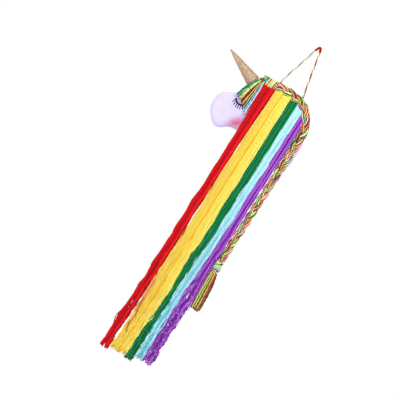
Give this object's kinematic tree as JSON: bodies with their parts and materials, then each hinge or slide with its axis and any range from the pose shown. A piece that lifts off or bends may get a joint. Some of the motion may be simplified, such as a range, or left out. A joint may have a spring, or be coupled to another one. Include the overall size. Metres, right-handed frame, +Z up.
{
  "type": "unicorn head yarn wall hanging",
  "caption": "Stuffed felt unicorn head in profile on a hanging cord, with a glitter horn, a closed eye, a plaited crest and tail, and a long rainbow yarn mane.",
  "frame": {"origin": "middle of the bend of the hanging cord, where it lies over its hook, on the cord's middle line", "axes": "+Z up, +X towards the nape (to the right for a person who faces it), the front looks towards -Y and the wall is on the +Y side"},
  "size_m": [0.2403, 0.0344, 0.7768],
  "materials": {
    "felt_lilac": "soft lilac felt with a powdery pink cheek",
    "felt_back": "plain lilac felt",
    "stuffing_white": "loose polyester fibre fill",
    "horn_glitter": "gold glitter cloth",
    "thread_black": "black embroidery yarn",
    "thread_pale": "pale sewing thread",
    "cord_mixed": "twisted yarn cord in red, grey-green and cream",
    "plait_mixed": "plaited yarn of many colours",
    "wrap_green": "green and mint yarn turns",
    "wrap_cream": "cream, brown and lime yarn turns",
    "wrap_brown": "brown-red yarn turns",
    "forelock_mixed": "loose yarn of many colours",
    "yarn_red": "red yarn",
    "yarn_gold": "golden yellow yarn",
    "yarn_lemon": "lemon yellow yarn",
    "yarn_green": "green yarn",
    "yarn_blue": "light blue yarn",
    "yarn_purple": "purple yarn",
    "yarn_orange": "orange yarn"
  },
  "bodies": {
    "cord": {"hanging_cord": "cord_mixed"},
    "head": {"cord_tack_left": "thread_pale", "cord_tack_right": "thread_pale", "head_back_felt": "felt_back", "head_front_felt": "felt_lilac", "head_stuffing": "stuffing_white", "horn_shell": "horn_glitter", "horn_stuffing": "stuffing_white", "eye_lid": "thread_black", "eyelash_1": "thread_black", "eyelash_2": "thread_black", "eyelash_3": "thread_black", "eyelash_4": "thread_black", "eyelash_5": "thread_black", "eyelash_6": "thread_black", "eyelash_7": "thread_black", "eyelash_8": "thread_black", "eyelash_9": "thread_black", "gather_wrap": "wrap_cream", "gather_knot": "wrap_green", "forelock_tie": "wrap_brown", "crest_plait": "plait_mixed", "mane_root_red": "yarn_red", "mane_root_gold": "yarn_gold", "mane_root_lemon": "yarn_lemon", "mane_root_green": "yarn_green", "mane_root_blue": "yarn_blue", "mane_root_purple": "yarn_purple"},
    "forelock_bundle": {"forelock": "forelock_mixed"},
    "mane_red_bundle": {"mane_red": "yarn_red"},
    "mane_gold_bundle": {"mane_gold": "yarn_gold", "mane_orange_strays": "yarn_orange"},
    "mane_lemon_bundle": {"mane_lemon": "yarn_lemon"},
    "mane_green_bundle": {"mane_green": "yarn_green"},
    "mane_blue_bundle": {"mane_blue": "yarn_blue"},
    "mane_purple_bundle": {"mane_purple": "yarn_purple"},
    "tail_upper": {"tail_plait_upper": "plait_mixed"},
    "tail_lower": {"tail_plait_lower": "plait_mixed", "tail_knot": "wrap_cream"},
    "tail_end": {"tail_tassel": "forelock_mixed"}
  },
  "joints": [
    {"name": "head_swing", "type": "hinge", "parent": "cord", "child": "head", "pos_m": [0, 0, -0.108], "axis": [-1, 0, 0], "range_deg": [0, 30]},
    {"name": "forelock_lift", "type": "hinge", "parent": "head", "child": "forelock_bundle", "pos_m": [-0.066, -0.0134, -0.134], "axis": [-1, 0, 0], "range_deg": [0, 70]},
    {"name": "mane_red_lift", "type": "hinge", "parent": "head", "child": "mane_red_bundle", "pos_m": [-0.0464, -0.0124, -0.144], "axis": [-1, 0, 0], "range_deg": [0, 70]},
    {"name": "mane_gold_lift", "type": "hinge", "parent": "head", "child": "mane_gold_bundle", "pos_m": [-0.02375, -0.0124, -0.14], "axis": [-1, 0, 0], "range_deg": [0, 70]},
    {"name": "mane_lemon_lift", "type": "hinge", "parent": "head", "child": "mane_lemon_bundle", "pos_m": [-0.00345, -0.0124, -0.14], "axis": [-1, 0, 0], "range_deg": [0, 70]},
    {"name": "mane_green_lift", "type": "hinge", "parent": "head", "child": "mane_green_bundle", "pos_m": [0.01435, -0.0124, -0.141], "axis": [-1, 0, 0], "range_deg": [0, 70]},
    {"name": "mane_blue_lift", "type": "hinge", "parent": "head", "child": "mane_blue_bundle", "pos_m": [0.0313, -0.0124, -0.15], "axis": [-1, 0, 0], "range_deg": [0, 70]},
    {"name": "mane_purple_lift", "type": "hinge", "parent": "head", "child": "mane_purple_bundle", "pos_m": [0.048, -0.0124, -0.174], "axis": [-1, 0, 0], "range_deg": [0, 70]},
    {"name": "tail_upper_lift", "type": "hinge", "parent": "head", "child": "tail_upper", "pos_m": [0.066, -0.0055, -0.262], "axis": [-1, 0, 0], "range_deg": [0, 60]},
    {"name": "tail_lower_lift", "type": "hinge", "parent": "tail_upper", "child": "tail_lower", "pos_m": [0.066, -0.0055, -0.38], "axis": [-1, 0, 0], "range_deg": [0, 55]},
    {"name": "tassel_lift", "type": "hinge", "parent": "tail_lower", "child": "tail_end", "pos_m": [0.068, -0.0055, -0.521], "axis": [-1, 0, 0], "range_deg": [0, 55]}
  ]
}
